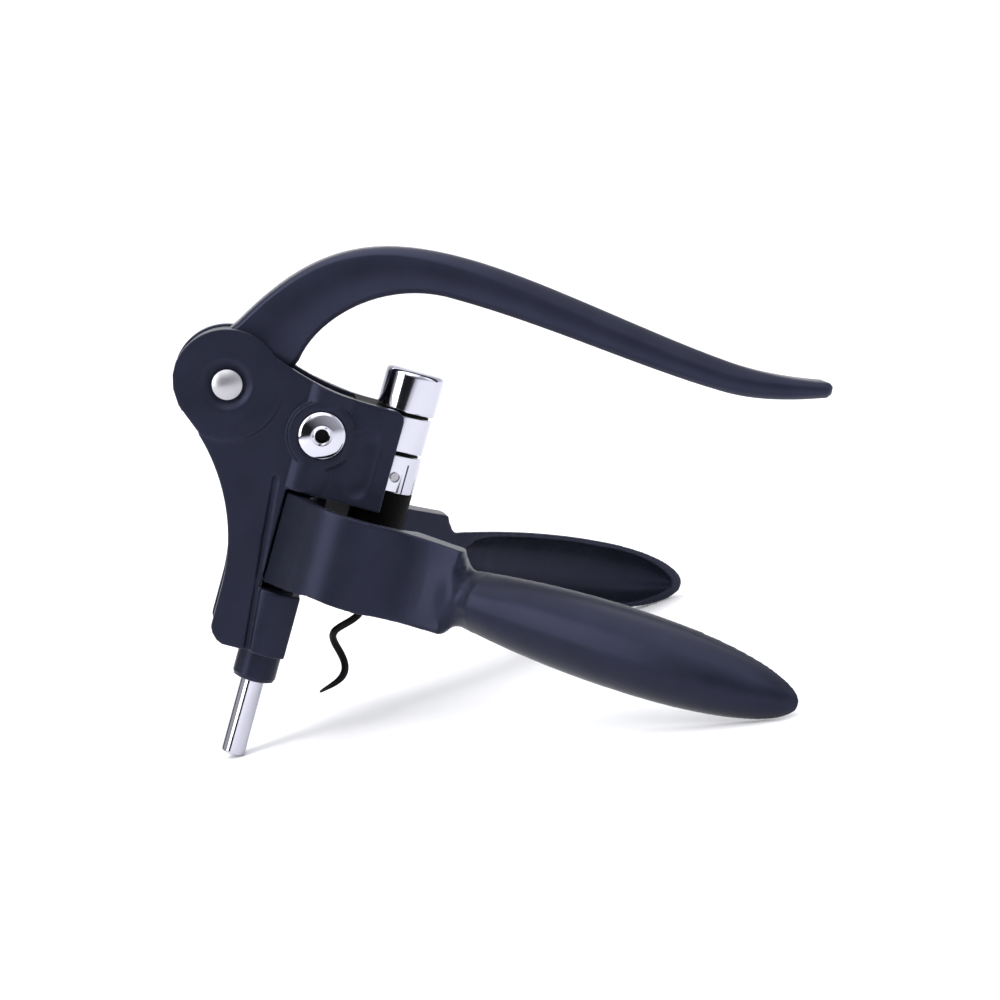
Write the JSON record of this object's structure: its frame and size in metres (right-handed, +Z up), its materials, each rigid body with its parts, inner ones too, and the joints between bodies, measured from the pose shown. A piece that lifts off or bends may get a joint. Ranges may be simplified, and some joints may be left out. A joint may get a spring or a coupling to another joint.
{
  "type": "lever corkscrew",
  "caption": "Hand-held lever corkscrew with hinged clamp jaws ending in hollow ear grips, a curved lever on a rack and pinion, and a bright barrel carrying a dark worm.",
  "frame": {"origin": "middle of the bounding box's underside, on the table that the rod's foot and both ears rest on", "axes": "+Z up, +X towards the ears and the lever's tip, +Y towards the far jaw; the worm leans in the XZ plane"},
  "size_m": [0.1784, 0.1664, 0.1256],
  "materials": {
    "soft_touch_paint": "satin soft-touch paint on die-cast zinc",
    "chrome_plate": "polished chrome plate",
    "satin_steel": "satin turned steel",
    "black_nylon": "glass-filled nylon, matte",
    "coated_steel": "non-stick coated steel wire, semi-matte",
    "grip_rubber": "matte moulded rubber"
  },
  "bodies": {
    "body": {"body_near": "soft_touch_paint", "body_far": "soft_touch_paint", "guide_block": "black_nylon", "body_screws": "chrome_plate", "guide_sleeve": "soft_touch_paint", "pivot_pin": "satin_steel", "pivot_washers": "black_nylon", "nut_holder": "black_nylon", "worm_nut": "black_nylon"},
    "lever": {"lever": "soft_touch_paint"},
    "carriage": {"rack_carriage": "black_nylon", "guide_rod": "chrome_plate"},
    "spindle": {"worm": "coated_steel", "barrel_core": "satin_steel", "barrel_cap": "chrome_plate", "barrel_sleeve": "chrome_plate", "barrel_collar": "chrome_plate", "lock_pin": "satin_steel"},
    "near_jaw": {"jaw_near": "soft_touch_paint", "jaw_pad_near": "grip_rubber"},
    "far_jaw": {"jaw_far": "soft_touch_paint", "jaw_pad_far": "grip_rubber"}
  },
  "joints": [
    {"name": "lever_swing", "type": "hinge", "parent": "body", "child": "lever", "pos_m": [-0.06706, 0, 0.09881], "axis": [0, -1, 0], "range_deg": [0, 165]},
    {"name": "carriage_slide", "type": "slide", "parent": "body", "child": "carriage", "axis": [0.4531, 0, 0.8915], "range_m": [0, 0.036]},
    {"name": "worm_spin", "type": "hinge", "parent": "carriage", "child": "spindle", "pos_m": [-0.02806, 0, 0.07159], "axis": [0.4531, 0, 0.8915], "range_deg": [0, 728.1]},
    {"name": "near_jaw_swing", "type": "hinge", "parent": "body", "child": "near_jaw", "pos_m": [-0.05939, 0, 0.05475], "axis": [0.4531, 0, 0.8915], "range_deg": [0, 33.6]},
    {"name": "far_jaw_swing", "type": "hinge", "parent": "body", "child": "far_jaw", "pos_m": [-0.05939, 0, 0.05475], "axis": [-0.4531, 0, -0.8915], "range_deg": [0, 33.6]}
  ],
  "couplings": [
    {"joint": "carriage_slide", "follows": "lever_swing", "m_per_rad": 0.0125},
    {"joint": "worm_spin", "follows": "lever_swing", "ratio": 4.4123}
  ]
}
